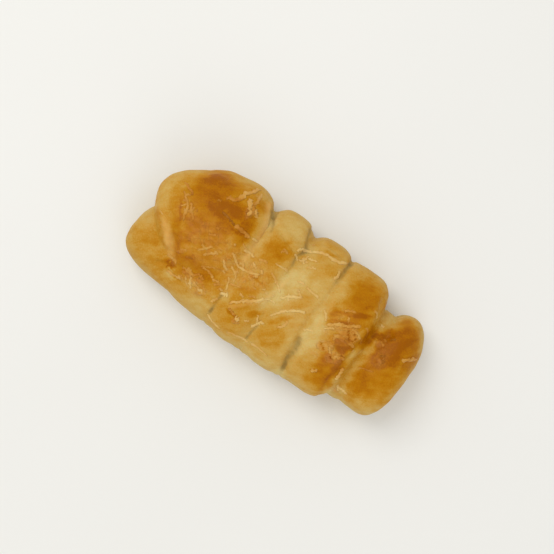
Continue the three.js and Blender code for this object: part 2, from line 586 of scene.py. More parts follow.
@dataclass
class Dough:
    """The baked dough of the roll, in one piece: its shape, its creases and where it browned.

    Lengths are in millimetres, and brown runs from 0 for cream to 1 for deep golden brown. A pair says where
    something starts and where it is full.
    """

    low: Vector
    high: Vector
    plan: Plan
    voxel: float = 0.65
    smoothing: int = 5
    lump: Grain = Grain(0.9, (26, 21, 22), 2.0)
    dimple: Grain = Grain(0.38, (10, 6, 8), 9.0)
    wrinkle: Grain = Grain(0.18, (4.5, 1.3, 4.5), 15.0)
    wrinkle_depth: float = 0.5
    bubble: Grain = Grain(0.28, (1.7, 1.7, 1.7), 31.0)
    sway: Grain = Grain(1.0, (60, 7, 60), stride=11.3)
    fine_sway: Grain = Grain(0.45, (60, 2.2, 60), stride=5.1)
    fade: Grain = Grain(0.5, (9, 9, 9), 3.7, stride=1.0)
    fine_fade: Grain = Grain(0.3, (2.6, 2.0, 2.6), 8.3, stride=1.0)
    usual_fade: float = 0.75
    flank: tuple[float, float] = (0.42, 0.9)
    lip_away: float = 2.4
    lip_width: float = 1.3
    cheese_stays: tuple[float, float] = (0.2, 0.6)
    melt_edge: Grain = Grain(3.0, (8, 8, 8), 40.0)
    film_break: Grain = Grain(1.0, (3.2, 2.2, 3.2), 21.0)
    film_least: float = 0.35
    lump_edge: Grain = Grain(0.9, (2.4, 2.4, 2.4), 44.0)
    curd: Grain = Grain(1.0, (1.9, 1.5, 1.9), 27.0)
    pit: float = 0.7
    brown_edge: Grain = Grain(1.8, (11, 11, 11), 50.0)
    fine_brown_edge: Grain = Grain(1.1, (3.5, 3.5, 3.5), 55.0)
    streak_edge: Grain = Grain(0.8, (3, 3, 3), 58.0)
    mottle: Grain = Grain(0.05, (13, 9, 11), 60.0)
    fine_mottle: Grain = Grain(0.06, (4, 3, 4), 63.0)
    base_brown: float = 0.42
    flank_pale: float = 0.3
    pit_brown: float = 0.45
    crease_pale: float = 0.1
    tray_brown: float = 0.72

    def build(self) -> bpy.types.Object:
        """Swells, fuses and sculpts the dough.

        Returns:
            The crust, with its browning, painted crease shade, fold highlight and melt stored on its vertices.
        """
        body = self._fused()
        co = np.empty(len(body.data.vertices) * 3, np.float32)
        body.data.vertices.foreach_get("co", co)
        normals = np.empty_like(co)
        body.data.vertex_normals.foreach_get("vector", normals)
        points = co.reshape(-1, 3).astype(float) / MM
        normals = normals.reshape(-1, 3).astype(float)
        placed = self.plan.of(points)
        shade_and_highlight, groove = self._creases(placed)
        melt, lumps, pits = self._melt(placed, normals)
        lift = self._relief(points, groove, melt) + lumps - self.pit * pits
        points = self._fitted(points + normals * lift[:, None])
        body.data.vertices.foreach_set("co", (points * MM).astype(np.float32).ravel())
        body.data.update()
        # The crease values are painted shade in the creases and a painted highlight on the raised folds.
        write_values(body.data, "crease", shade_and_highlight)
        write_values(body.data, "melt", melt)
        write_values(body.data, "browning", self._browning(placed, normals, shade_and_highlight, pits))
        return body

    def _fused(self) -> bpy.types.Object:
        """The swellings fused into one skin.

        Returns:
            The crust before it is sculpted, with the bottoms of the valleys between its turns rounded.
        """
        size = self.high - self.low
        bm = bmesh.new()
        for swelling in SWELLINGS:
            swelling.add_to(bm, size)
        rough = mesh_object("rough_dough", bm)
        remesh = rough.modifiers.new("skin", "REMESH")
        remesh.mode = "VOXEL"
        remesh.voxel_size = self.voxel * MM
        graph = bpy.context.evaluated_depsgraph_get()
        skin = bpy.data.meshes.new_from_object(rough.evaluated_get(graph))
        bm = bmesh.new()
        bm.from_mesh(skin)
        for _ in range(self.smoothing):
            bmesh.ops.smooth_vert(
                bm, verts=bm.verts, factor=0.5, use_axis_x=True, use_axis_y=True, use_axis_z=True
            )
        bpy.data.objects.remove(rough)
        bpy.data.meshes.remove(skin)
        return mesh_object("crust", bm)

    def _creases(self, points: np.ndarray) -> tuple[np.ndarray, np.ndarray]:
        """Draws the creases and the raised folds.

        Args:
            points: One row per vertex on the plan, in millimetres.

        Returns:
            Painted shade and highlight per vertex, from -1 on a fold to 1 in a crease, and how deep it lies.
        """
        shade_and_highlight = np.zeros(len(points))
        groove = np.zeros(len(points))
        flank = smoothstep(*self.flank, np.abs(points[:, 1]) / (self.high.y / MM))
        for number, crease in enumerate(CREASES):
            sway = crease.wander * (self.sway.at(points, number) + self.fine_sway.at(points, number))
            away = distance_to_path(points[:, 0] + sway, points[:, 1], crease.path)
            fade = self.usual_fade + self.fade.at(points, number) + self.fine_fade.at(points, number)
            depth = (crease.depth + (crease.flank_depth - crease.depth) * flank) * fade
            core = np.exp(-((away / crease.width) ** 2))
            lip = np.exp(-(((away - self.lip_away * crease.width) / (self.lip_width * crease.width)) ** 2))
            groove += depth * (core - crease.lip * lip)
            raised = crease.depth < 0
            shown = 0.4 + 0.8 * fade if raised else np.clip(fade * (0.6 + 0.4 * flank), 0, 1)
            shade_and_highlight += crease.shade_and_highlight * core * shown
        return np.clip(shade_and_highlight, -1, 1), groove

    def _melt(self, points: np.ndarray, normals: np.ndarray) -> tuple[np.ndarray, np.ndarray, np.ndarray]:
        """Where melted cheese lies on the crust.

        Args:
            points: One row per vertex on the plan, in millimetres.
            normals: The direction that each vertex faces.

        Returns:
            How much cheese has soaked in (0 to 1), how thick its lumps are in millimetres, and where they
            have burst into pits (0 to 1).
        """
        up = smoothstep(*self.cheese_stays, normals[:, 2])
        cover = np.clip(covered(MELT_PATCHES, points + self.melt_edge.at(points)[:, None]), 0, 1)
        whole = smoothstep(-0.35, 0.35, self.film_break.at(points))
        film = cover * (self.film_least + (1 - self.film_least) * whole)
        lumps = np.clip(covered(CHEESE_LUMPS, points + self.lump_edge.at(points)[:, None]), 0, 1)
        curd = self.curd.at(points)
        pits = smoothstep(0.28, 0.5, curd) * smoothstep(0.25, 0.6, lumps)
        melt = np.clip(film + smoothstep(0.1, 0.5, lumps), 0, 1) * up * (1 - pits)
        return melt, lumps * (0.75 + 0.5 * curd) * up, pits * up

    def _relief(self, points: np.ndarray, groove: np.ndarray, melt: np.ndarray) -> np.ndarray:
        """The lift of each vertex along its normal: lumps, wrinkles by the creases and bubbles.

        Args:
            points: One row per vertex, in millimetres.
            groove: How deep a crease is at each vertex, in millimetres.
            melt: How much cheese has soaked in there.

        Returns:
            One length per vertex, in millimetres.
        """
        near = np.clip(np.abs(groove) / self.wrinkle_depth, 0, 1)
        lift = self.lump.at(points) + self.dimple.at(points) + near * self.wrinkle.at(points)
        return lift + melt * self.bubble.at(points) - groove

    def _fitted(self, points: np.ndarray) -> np.ndarray:
        """The points scaled to the roll's own box, with the underside pressed flat by the tray.

        Args:
            points: One row per vertex, in millimetres.

        Returns:
            One row per vertex, in millimetres.
        """
        low, high = np.array(self.low) / MM, np.array(self.high) / MM
        points[:, 2] = np.maximum(points[:, 2], 0.0)
        span = points.max(0) - points.min(0)
        return (points - points.min(0)) / span * (high - low) + low

    def _browning(
        self, points: np.ndarray, normals: np.ndarray, shade_and_highlight: np.ndarray, pits: np.ndarray
    ) -> np.ndarray:
        """How brown each vertex baked, with a few marks of painted shade.

        Args:
            points: One row per vertex on the plan, in millimetres.
            normals: The direction that each vertex faces.
            shade_and_highlight: The painted shade in the creases and the painted highlight on the folds.
            pits: Where the cheese has burst.

        Returns:
            One value per vertex, from 0 to 1.
        """
        warp = self.brown_edge.at(points) + self.fine_brown_edge.at(points)
        warped = points + np.stack([warp, np.roll(warp, 7), np.zeros(len(points))], axis=1)
        brown = self.base_brown + covered(BROWN_AND_SHADE_PATCHES, warped)
        height = points[:, 2] / (self.high.z / MM)
        low_down = 1 - smoothstep(0.15, 0.5, height)
        brown -= self.flank_pale * low_down * smoothstep(-0.6, 0.0, normals[:, 2])
        top = smoothstep(0.2, 0.7, normals[:, 2])
        brown += top * covered(STREAKS_AND_SHADOW_LINE, points + self.streak_edge.at(points)[:, None])
        brown += self.pit_brown * pits - self.crease_pale * np.clip(shade_and_highlight, 0, 1)
        brown += self.mottle.at(points) + self.fine_mottle.at(points)
        under = smoothstep(0.5, 0.95, -normals[:, 2])
        return np.clip(brown * (1 - under) + self.tray_brown * under, 0, 1)


# ---------------------------------------------------------------- the grated cheese


@dataclass(frozen=True)
class Shred:
    """One grated strand of cheese lying on the crown, in millimetres, seen from above.

    It runs from start to end and bows sideways by its bend. Its toast makes it browner, or paler below zero.
    """

    start: tuple[float, float]
    end: tuple[float, float]
    bend: float = 0.0
    width: float = 1.1
    toast: float = 0.2


PLACED_SHREDS = (
    # On the head.
    Shred((-48.5, 22.3), (-41.5, 26), -0.9, 1.9, 0.0),
    Shred((-43, 25), (-36.5, 35), 0.9, 2.4, -0.1),
    Shred((-38.5, 28.5), (-34, 20.5), 0.6, 2.2, -0.15),
    Shred((-33, 26), (-30.8, 22.3), 0.3, 1.7, -0.1),
    Shred((-35, 34), (-34.8, 27), 0.3, 1.3, -0.05),
    Shred((-46, 15), (-37, 13), 0.3, 1.2, 0.25),
    Shred((-37, 12.9), (-27, 12.4), 0.4, 1.9, -0.1),
    Shred((-67.8, 12), (-60, 0), 2.1, 1.3, 0.0),
    Shred((-61.5, 9.8), (-55, 3), -0.6, 1.2, 0.0),
    Shred((-70, 16), (-63, 13), 0.5, 1.2, 0.2),
    Shred((-56, -18.6), (-49.5, -19.6), 0.6, 1.7, -0.05),
    Shred((-51.5, -25.2), (-43, -24.4), -0.3, 1.9, -0.05),
    Shred((-44, -18.3), (-39.8, -20.2), 0.5, 2.0, -0.05),
    Shred((-40.5, -19.5), (-36.2, -25.8), -0.6, 1.4, -0.1),
    Shred((-42, -22), (-39, -25), -0.4, 0.9, 0.0),
    Shred((-36.8, -17.6), (-33.8, -18.6), 0.2, 1.8, -0.05),
    Shred((-33.2, -24.2), (-30.6, -23.2), 0.2, 1.8, -0.2),
    Shred((-52, -13), (-49, -11.3), 0.2, 1.2, 0.0),
    Shred((-45, -4), (-42, -5.5), 0.2, 1.1, -0.05),
    # On the first turn.
    Shred((-27, -1.2), (-12, 0.2), -1.8, 1.1, -0.1),
    Shred((-26, 5.6), (-19.5, 5.4), 0.9, 1.2, -0.1),
    Shred((-17, 6), (-12.5, 7.4), 0.4, 1.1, -0.05),
    Shred((-31.5, -4), (-26.5, -7.6), -0.5, 1.2, -0.1),
    Shred((-26.5, -4.6), (-20.5, -10.6), 1.5, 1.1, -0.1),
    Shred((-24.4, -9.5), (-21.8, -16), 0.5, 0.9, -0.05),
    Shred((-23.2, -18.9), (-18.8, -18), 0.3, 1.9, -0.25),
    Shred((-16.3, -20.6), (-8, -13.4), 0.5, 1.7, -0.15),
    Shred((-9, -14), (-3.2, -8.3), -0.4, 1.5, -0.15),
    Shred((-14.8, -22.2), (-10.2, -23.8), -0.3, 1.4, 0.15),
    Shred((-10, -24.2), (-7.2, -24.9), 0.1, 2.4, -0.25),
    Shred((-8, 4.6), (-3, 1.2), 0.6, 1.0, 0.0),
    # On the second turn and across its seams.
    Shred((-0.3, -24), (4, -18.4), 0.9, 1.5, -0.2),
    Shred((1, -20), (-0.8, -16.5), 0.3, 1.1, -0.1),
    Shred((-4.2, 21.3), (3, 24.6), 0.5, 1.8, -0.2),
    Shred((-4, 18.8), (-0.8, 17), 0.3, 1.3, -0.15),
    Shred((0.5, 20), (2.6, 17.2), 0.2, 1.2, -0.1),
    Shred((2.5, 24.6), (11, 28.2), 0.7, 1.7, -0.15),
    Shred((10, 28), (20.5, 30.4), -0.8, 1.6, -0.2),
    Shred((5, 17), (9.4, 19.2), 0.2, 1.1, -0.05),
    Shred((19.6, 25.4), (19.6, 20), 0.4, 1.6, -0.15),
    Shred((3, -3.4), (12, 3.6), 0.5, 1.3, -0.1),
    Shred((4, -13.6), (10.5, -5.8), 0.4, 1.3, -0.1),
    Shred((10, -6.4), (17.8, -2), 0.6, 1.3, -0.1),
    Shred((24.5, 5), (28.6, 0.6), 0.4, 1.1, -0.1),
    Shred((22, -9.8), (26.6, -7), 0.3, 1.1, -0.1),
    # On the third turn.
    Shred((30, -0.8), (38, 4.4), 0.5, 1.5, -0.1),
    Shred((37, 4), (44.4, 9), -0.4, 1.5, -0.1),
    Shred((33, 10.2), (38.6, 13.2), 0.3, 1.1, 0.0),
    Shred((35.5, -2.6), (48, -1.8), 0.9, 1.5, -0.05),
    Shred((30, -3), (34.4, 0.2), 0.3, 1.1, -0.1),
    Shred((41.5, -12.6), (47.5, -9.6), 0.6, 1.6, 0.0),
    Shred((45.2, 19.4), (48.6, 16.8), 0.6, 1.1, -0.1),
    Shred((37, -24.2), (39.8, -22.4), 0.5, 1.8, -0.15),
    # On the waist and the tail.
    Shred((49, -13.4), (49.6, -20.4), 0.5, 1.9, -0.2),
    Shred((52, -23), (58.6, -23.2), 0.5, 1.6, -0.25),
    Shred((52, -21.6), (53.6, -24.4), 0.5, 1.2, -0.2),
    Shred((71.3, 6.6), (77, 11.6), 0.4, 1.9, -0.2),
    Shred((62.8, 2.8), (64.6, 0), 0.3, 1.2, 0.0),
    Shred((57, 8.6), (59.6, 7), 0.3, 1.2, -0.1),
    Shred((52.2, 15.4), (54.2, 15), 0.1, 1.4, -0.25),
    # Along the lower edge of the turns.
    Shred((-22, -31), (-12.5, -33.4), -0.6, 1.3, -0.1),
    Shred((-9, -32.8), (3, -30.6), 0.5, 1.2, -0.05),
    Shred((4, -30.4), (15, -30.8), 0.4, 1.1, -0.05),
)


class Lie(Enum):
    """How a strand lies: dropped flat, or curled up as it left the grater."""

    FLAT = 0.03
    CURLED = 0.16


# Where the scattered strands fell. Each heap's amount is how many of them it drew.
SHRED_HEAPS = (
    Patch(-24, -9, 5, 9, 3.0),
    Patch(-9, -5, 6, 11, 2.2),
    Patch(44, 1, 5, 8, 2.2),
    Patch(-60, 4, 6, 7, 0.9),
    Patch(-42, -8, 9, 11, 1.2),
    Patch(-36, -20, 8, 3, 1.0),
    Patch(12, -4, 7, 11, 1.0),
    Patch(1, 12, 3, 8, 0.7),
    Patch(62, 4, 5, 9, 0.6),
    Patch(-38, 24, 9, 7, 0.4),
)


@dataclass(frozen=True)
class Footing:
    """A point of the crust that a strand lies on, with the crust's normal and how brown it is there."""

    spot: Vector
    normal: Vector
    brown: float


@dataclass
class CheeseShreds:
    """Coarsely grated cheese that melted onto the crust and fused with it.

    Lengths are in millimetres and angles in degrees. A share is how many of the strands are so, and a pair is
    the least and the most of something that is drawn at random.
    """

    crust: bpy.types.Object
    plan: Plan
    seed: int = 11
    scattered: int = 90
    sides: int = 8
    rings: int = 13
    fewest_rings: int = 4
    flatness: float = 0.3
    sunk: float = 0.36
    paler: float = 0.07
    headings: tuple[float, ...] = (15, 35, 50, 145, 0)
    heading_spread: float = 20
    short_share: float = 0.6
    short: tuple[float, float] = (1.2, 3.5)
    long: tuple[float, float] = (3.5, 8)
    curled_share: float = 0.4
    widths: tuple[float, float] = (0.7, 1.3)
    toasts: tuple[float, float] = (-0.12, 0.1)
    steepest: float = 0.15
    uneven: float = 0.38
    sway: float = 0.16
    end_taper: float = 0.45
    end_toast: float = 0.15
    tone_spread: float = 0.06

    def build(self) -> bpy.types.Object:
        """Lays the placed strands and the scattered ones on the crust.

        Returns:
            All the strands, in one mesh.
        """
        draw = random.Random(self.seed)
        self._read_surface()
        bm = bmesh.new()
        tones: list[float] = []
        for shred in PLACED_SHREDS:
            path = self._placed_path(shred)
            tones += self._strand(bm, path, shred.width, shred.toast, draw)
        for _ in range(self.scattered):
            path, width, toast = self._scattered_path(draw)
            if len(path) >= self.fewest_rings:
                tones += self._strand(bm, path, width, toast, draw)
        bmesh.ops.recalc_face_normals(bm, faces=bm.faces)
        made = mesh_object("melted_cheese", bm)
        write_values(made.data, "toast", np.array(tones))
        return made

    def _read_surface(self) -> None:
        """Keeps a search tree of the crust and how brown each of its faces is."""
        bm = bmesh.new()
        bm.from_mesh(self.crust.data)
        layer = bm.verts.layers.float["browning"]
        self.brown_of_face = [face.verts[0][layer] for face in bm.faces]
        self.tree = BVHTree.FromBMesh(bm)
        bm.free()

    def _drop(self, x: float, y: float) -> Footing | None:
        """The spot on the crust that is at x and y on the plan, in millimetres."""
        spot, normal, face, _ = self.tree.ray_cast(*self.plan.sight(x, y))
        return Footing(spot, normal, self.brown_of_face[face]) if spot else None

    def _placed_path(self, shred: Shred) -> list[Footing]:
        """Drops a placed strand onto the crust from above.

        Args:
            shred: The strand.

        Returns:
            The footings along it.
        """
        start, end = Vector(shred.start), Vector(shred.end)
        side = (end - start).orthogonal().normalized()
        path = []
        for i in range(self.rings):
            t = i / (self.rings - 1)
            flat = start.lerp(end, t) + side * shred.bend * 4 * t * (1 - t)
            footing = self._drop(flat.x, flat.y)
            if footing:
                path.append(footing)
        return path

    def _scattered_path(self, draw: random.Random) -> tuple[list[Footing], float, float]:
        """A strand that fell somewhere on the top, and bends over what it lies on.

        Args:
            draw: The source of its random choices.

        Returns:
            Its footings, its width in millimetres and how much browner it is than the others.
        """
        heap = draw.choices(SHRED_HEAPS, weights=[heap.amount for heap in SHRED_HEAPS])[0]
        x = heap.x + draw.gauss(0, heap.half_x)
        y = heap.y + draw.gauss(0, heap.half_y)
        heading = math.radians(draw.choice(self.headings) + draw.gauss(0, self.heading_spread))
        length = draw.uniform(*(self.short if draw.random() < self.short_share else self.long))
        lie = Lie.CURLED if draw.random() < self.curled_share else Lie.FLAT
        curl = draw.gauss(0, lie.value)
        width = draw.uniform(*self.widths)
        toast = draw.uniform(*self.toasts)
        footing = self._drop(x, y)
        path = []
        step = length / (self.rings - 1)
        for _ in range(self.rings):
            if footing is None or footing.normal.z < self.steepest:
                break
            path.append(footing)
            ahead = Vector((math.cos(heading), math.sin(heading), 0))
            ahead = (ahead - footing.normal * ahead.dot(footing.normal)).normalized()
            spot, normal, face, _ = self.tree.find_nearest(footing.spot + ahead * step * MM)
            footing = Footing(spot, normal, self.brown_of_face[face])
            heading += curl * step
        return path, width, toast

    def _strand(
        self, bm: bmesh.types.BMesh, path: list[Footing], width: float, toast: float, draw: random.Random
    ) -> list[float]:
        """Bends one thin rod along a path and flattens it onto the crust.

        Args:
            bm: The bmesh that takes it.
            path: Its footings on the crust.
            width: Its full width in millimetres.
            toast: How much browner it is than the others.
            draw: The source of its random choices.

        Returns:
            The toast of each vertex that was added.
        """
        last = len(path) - 1
        rod = bmesh.new()
        bmesh.ops.create_cone(
            rod, cap_ends=True, cap_tris=False, segments=self.sides, radius1=0.5, radius2=0.5, depth=1.0
        )
        lengths = [edge for edge in rod.edges if abs(edge.verts[0].co.z - edge.verts[1].co.z) > 0.5]
        bmesh.ops.subdivide_edges(rod, edges=lengths, cuts=last - 1)
        swell = [1 + draw.uniform(-self.uneven, self.uneven) for _ in path]
        sway = [draw.gauss(0, self.sway) * width for _ in path]
        tones = []
        for vert in rod.verts:
            i = min(last, max(0, round((vert.co.z + 0.5) * last)))
            here = path[i]
            run = path[min(last, i + 1)].spot - path[max(0, i - 1)].spot
            side = here.normal.cross(run).normalized()
            at_end = i in (0, last)
            taper = self.end_taper if at_end else 1.0
            across = vert.co.x * width * swell[i] * taper + sway[i]
            up = self.flatness * width * (vert.co.y * taper + 0.5 - self.sunk)
            vert.co = here.spot + (side * across + here.normal * up) * MM
            tone = here.brown - self.paler + toast + self.end_toast * at_end
            tone += draw.uniform(-self.tone_spread, self.tone_spread)
            tones.append(min(1.0, max(0.0, tone)))
        join_in(rod, bm)
        return tones


# ---------------------------------------------------------------- finishes


class NodeSheet:
    """Adds and joins the nodes of one shader tree."""

    def __init__(self, tree: bpy.types.NodeTree) -> None:
        """Keeps the tree."""
        self.tree = tree

    def add(self, kind: str, **inputs: object) -> bpy.types.Node:
        """Adds a node and gives its inputs a value or a link.

        Args:
            kind: The node's type name.
            **inputs: Each input's name, with underscores for spaces, and a value or an output to link.

        Returns:
            The node.
        """
        node = self.tree.nodes.new(kind)
        for name, value in inputs.items():
            self.feed(node.inputs[name.replace("_", " ")], value)
        return node

    def feed(self, socket: bpy.types.NodeSocket, value: object) -> None:
        """Links an output to a socket, or sets the socket's own value.

        Args:
            socket: The input that is fed.
            value: An output to link, or a plain value.
        """
        if isinstance(value, bpy.types.NodeSocket):
            self.tree.links.new(value, socket)
        else:
            socket.default_value = value

    def stored(self, name: str) -> bpy.types.NodeSocket:
        """A number that is stored on the surface's vertices.

        Args:
            name: The name it is stored by.

        Returns:
            The number.
        """
        node = self.add("ShaderNodeAttribute")
        node.attribute_name = name
        return node.outputs["Fac"]

    def math(
        self, operation: str, first: object, second: object = 0.0, clamp: bool = False
    ) -> bpy.types.NodeSocket:
        """One step of arithmetic on two values.

        Args:
            operation: The step's name, such as ADD.
            first: The first value or output.
            second: The second value or output.
            clamp: Whether the result is kept between 0 and 1.

        Returns:
            The result.
        """
        node = self.tree.nodes.new("ShaderNodeMath")
        node.operation = operation
        node.use_clamp = clamp
        self.feed(node.inputs[0], first)
        self.feed(node.inputs[1], second)
        return node.outputs[0]

    def plus(self, total: object, value: object, share: object = 1.0) -> bpy.types.NodeSocket:
        """A total with a share of another value added to it."""
        return self.math("ADD", total, self.math("MULTIPLY", value, share))

    def centred(self, value: object) -> bpy.types.NodeSocket:
        """A value from 0 to 1 moved to between -0.5 and 0.5."""
        return self.math("SUBTRACT", value, 0.5)

    def noise(
        self, vector: object, scale: object, detail: float = 3.0, rough: float = 0.55
    ) -> bpy.types.NodeSocket:
        """Cloudy noise from 0 to 1."""
        node = self.add("ShaderNodeTexNoise", Vector=vector, Scale=scale, Detail=detail, Roughness=rough)
        return node.outputs["Fac"]

    def span(
        self, value: object, low: float, high: float, to_low: float, to_high: float
    ) -> bpy.types.NodeSocket:
        """A value moved smoothly from one range to another, and kept inside it.

        Args:
            value: The value or output.
            low: Where the first range starts.
            high: Where it ends.
            to_low: What its start becomes.
            to_high: What its end becomes.

        Returns:
            The moved value.
        """
        node = self.tree.nodes.new("ShaderNodeMapRange")
        node.interpolation_type = "SMOOTHSTEP"
        for number, part in enumerate((value, low, high, to_low, to_high)):
            self.feed(node.inputs[number], part)
        return node.outputs[0]

    def stretched(
        self, vector: bpy.types.NodeSocket, turn: float, scale: tuple[float, float, float]
    ) -> bpy.types.NodeSocket:
        """A vector for a pattern that is turned about Z and then drawn out along its own axes.

        Args:
            vector: The place on the surface.
            turn: The turn in degrees.
            scale: How far the pattern is drawn out along each of its axes.

        Returns:
            The vector.
        """
        node = self.add("ShaderNodeMapping", Vector=vector, Rotation=(0, 0, math.radians(turn)), Scale=scale)
        node.vector_type = "TEXTURE"
        return node.outputs["Vector"]

    def ramp(self, value: object, stops: tuple[tuple[float, str], ...]) -> bpy.types.NodeSocket:
        """A colour picked from a row of display colours.

        Args:
            value: The place in the row, from 0 to 1.
            stops: The place and the colour of each stop.

        Returns:
            The colour.
        """
        node = self.add("ShaderNodeValToRGB", Fac=value)
        elements = node.color_ramp.elements
        while len(elements) < len(stops):
            elements.new(0.5)
        for element, (place, code) in zip(elements, stops):
            element.position = place
            element.color = linear(code)
        return node.outputs["Color"]

    def mix(self, amount: object, first: object, second: object) -> bpy.types.NodeSocket:
        """Two colours mixed.

        Args:
            amount: How much of the second colour there is, from 0 to 1.
            first: The first colour.
            second: The second colour.

        Returns:
            The mixed colour.
        """
        node = self.tree.nodes.new("ShaderNodeMix")
        node.data_type = "RGBA"
        factor, colour_a, colour_b = node.inputs[0], node.inputs[6], node.inputs[7]
        self.feed(factor, amount)
        self.feed(colour_a, first)
        self.feed(colour_b, second)
        return node.outputs[2]


@dataclass(frozen=True)
class BakedSkin:
    """The fine surface that baked things share: mottling, tiny blisters and pores.

    Scales are in lumps per metre, and each height is that pattern's share of the relief.
    """

    name: str = "baked skin"
    coarse: float = 190.0
    coarse_height: float = 0.7
    fine: float = 900.0
    fine_height: float = 0.22
    cells: float = 620.0
    cell_rim: tuple[float, float] = (0.12, 0.42)
    blistered: tuple[float, float] = (0.5, 0.64)
    blister_height: float = 0.07

    def group(self) -> bpy.types.NodeTree:
        """The node group, built once.

        Returns:
            A group with a Vector and a Grain input, and Mottle, Blister and Height outputs.
        """
        if self.name in bpy.data.node_groups:
            return bpy.data.node_groups[self.name]
        group = bpy.data.node_groups.new(self.name, "ShaderNodeTree")
        group.interface.new_socket("Vector", in_out="INPUT", socket_type="NodeSocketVector")
        group.interface.new_socket("Grain", in_out="INPUT", socket_type="NodeSocketFloat").default_value = 1.0
        for output in ("Mottle", "Blister", "Height"):
            group.interface.new_socket(output, in_out="OUTPUT", socket_type="NodeSocketFloat")
        sheet = NodeSheet(group)
        source = group.nodes.new("NodeGroupInput")
        vector, grain = source.outputs["Vector"], source.outputs["Grain"]
        coarse = sheet.noise(vector, sheet.math("MULTIPLY", grain, self.coarse), 4.0, 0.6)
        fine = sheet.noise(vector, sheet.math("MULTIPLY", grain, self.fine), 3.0, 0.6)
        scale = sheet.math("MULTIPLY", grain, self.cells)
        cells = sheet.add("ShaderNodeTexVoronoi", Vector=vector, Scale=scale)
        blister = sheet.span(cells.outputs["Distance"], *self.cell_rim, 1.0, 0.0)
        blister = sheet.math("MULTIPLY", blister, sheet.span(coarse, *self.blistered, 0.0, 1.0))
        height = sheet.plus(sheet.math("MULTIPLY", coarse, self.coarse_height), fine, self.fine_height)
        height = sheet.plus(height, blister, self.blister_height)
        target = group.nodes.new("NodeGroupOutput")
        sheet.feed(target.inputs["Mottle"], coarse)
        sheet.feed(target.inputs["Blister"], blister)
        sheet.feed(target.inputs["Height"], height)
        return group

    def place(self, sheet: NodeSheet, vector: bpy.types.NodeSocket, grain: float) -> bpy.types.Node:
        """Places the group in a material.

        Args:
            sheet: The material's nodes.
            vector: The place on the surface.
            grain: How much finer the patterns are than on the crust.

        Returns:
            The group's node.
        """
        node = sheet.tree.nodes.new("ShaderNodeGroup")
        node.node_tree = self.group()
        sheet.feed(node.inputs["Vector"], vector)
        sheet.feed(node.inputs["Grain"], grain)
        return node


def new_material(name: str) -> tuple[bpy.types.Material, NodeSheet, bpy.types.Node]:
    """A node material that is still to be dressed.

    Args:
        name: Its name.

    Returns:
        The material, its nodes and its Principled shader.
    """
    material = bpy.data.materials.new(name)
    material.use_nodes = True
    return material, NodeSheet(material.node_tree), material.node_tree.nodes["Principled BSDF"]


@dataclass(frozen=True)
class Flesh:
    """How light soaks into a baked thing: how much of it, how far each colour goes, and to what depth.

    The depth is in millimetres, and the specular level is the part that the surface throws back.
    """

    weight: float
    radius: tuple[float, float, float]
    depth: float
    specular: float

    def set_on(self, shader: bpy.types.Node) -> None:
        """Sets the shader's own sockets.

        Args:
            shader: The material's Principled shader.
        """
        shader.inputs["Specular IOR Level"].default_value = self.specular
        shader.inputs["Subsurface Weight"].default_value = self.weight
        shader.inputs["Subsurface Radius"].default_value = self.radius
        shader.inputs["Subsurface Scale"].default_value = self.depth * MM


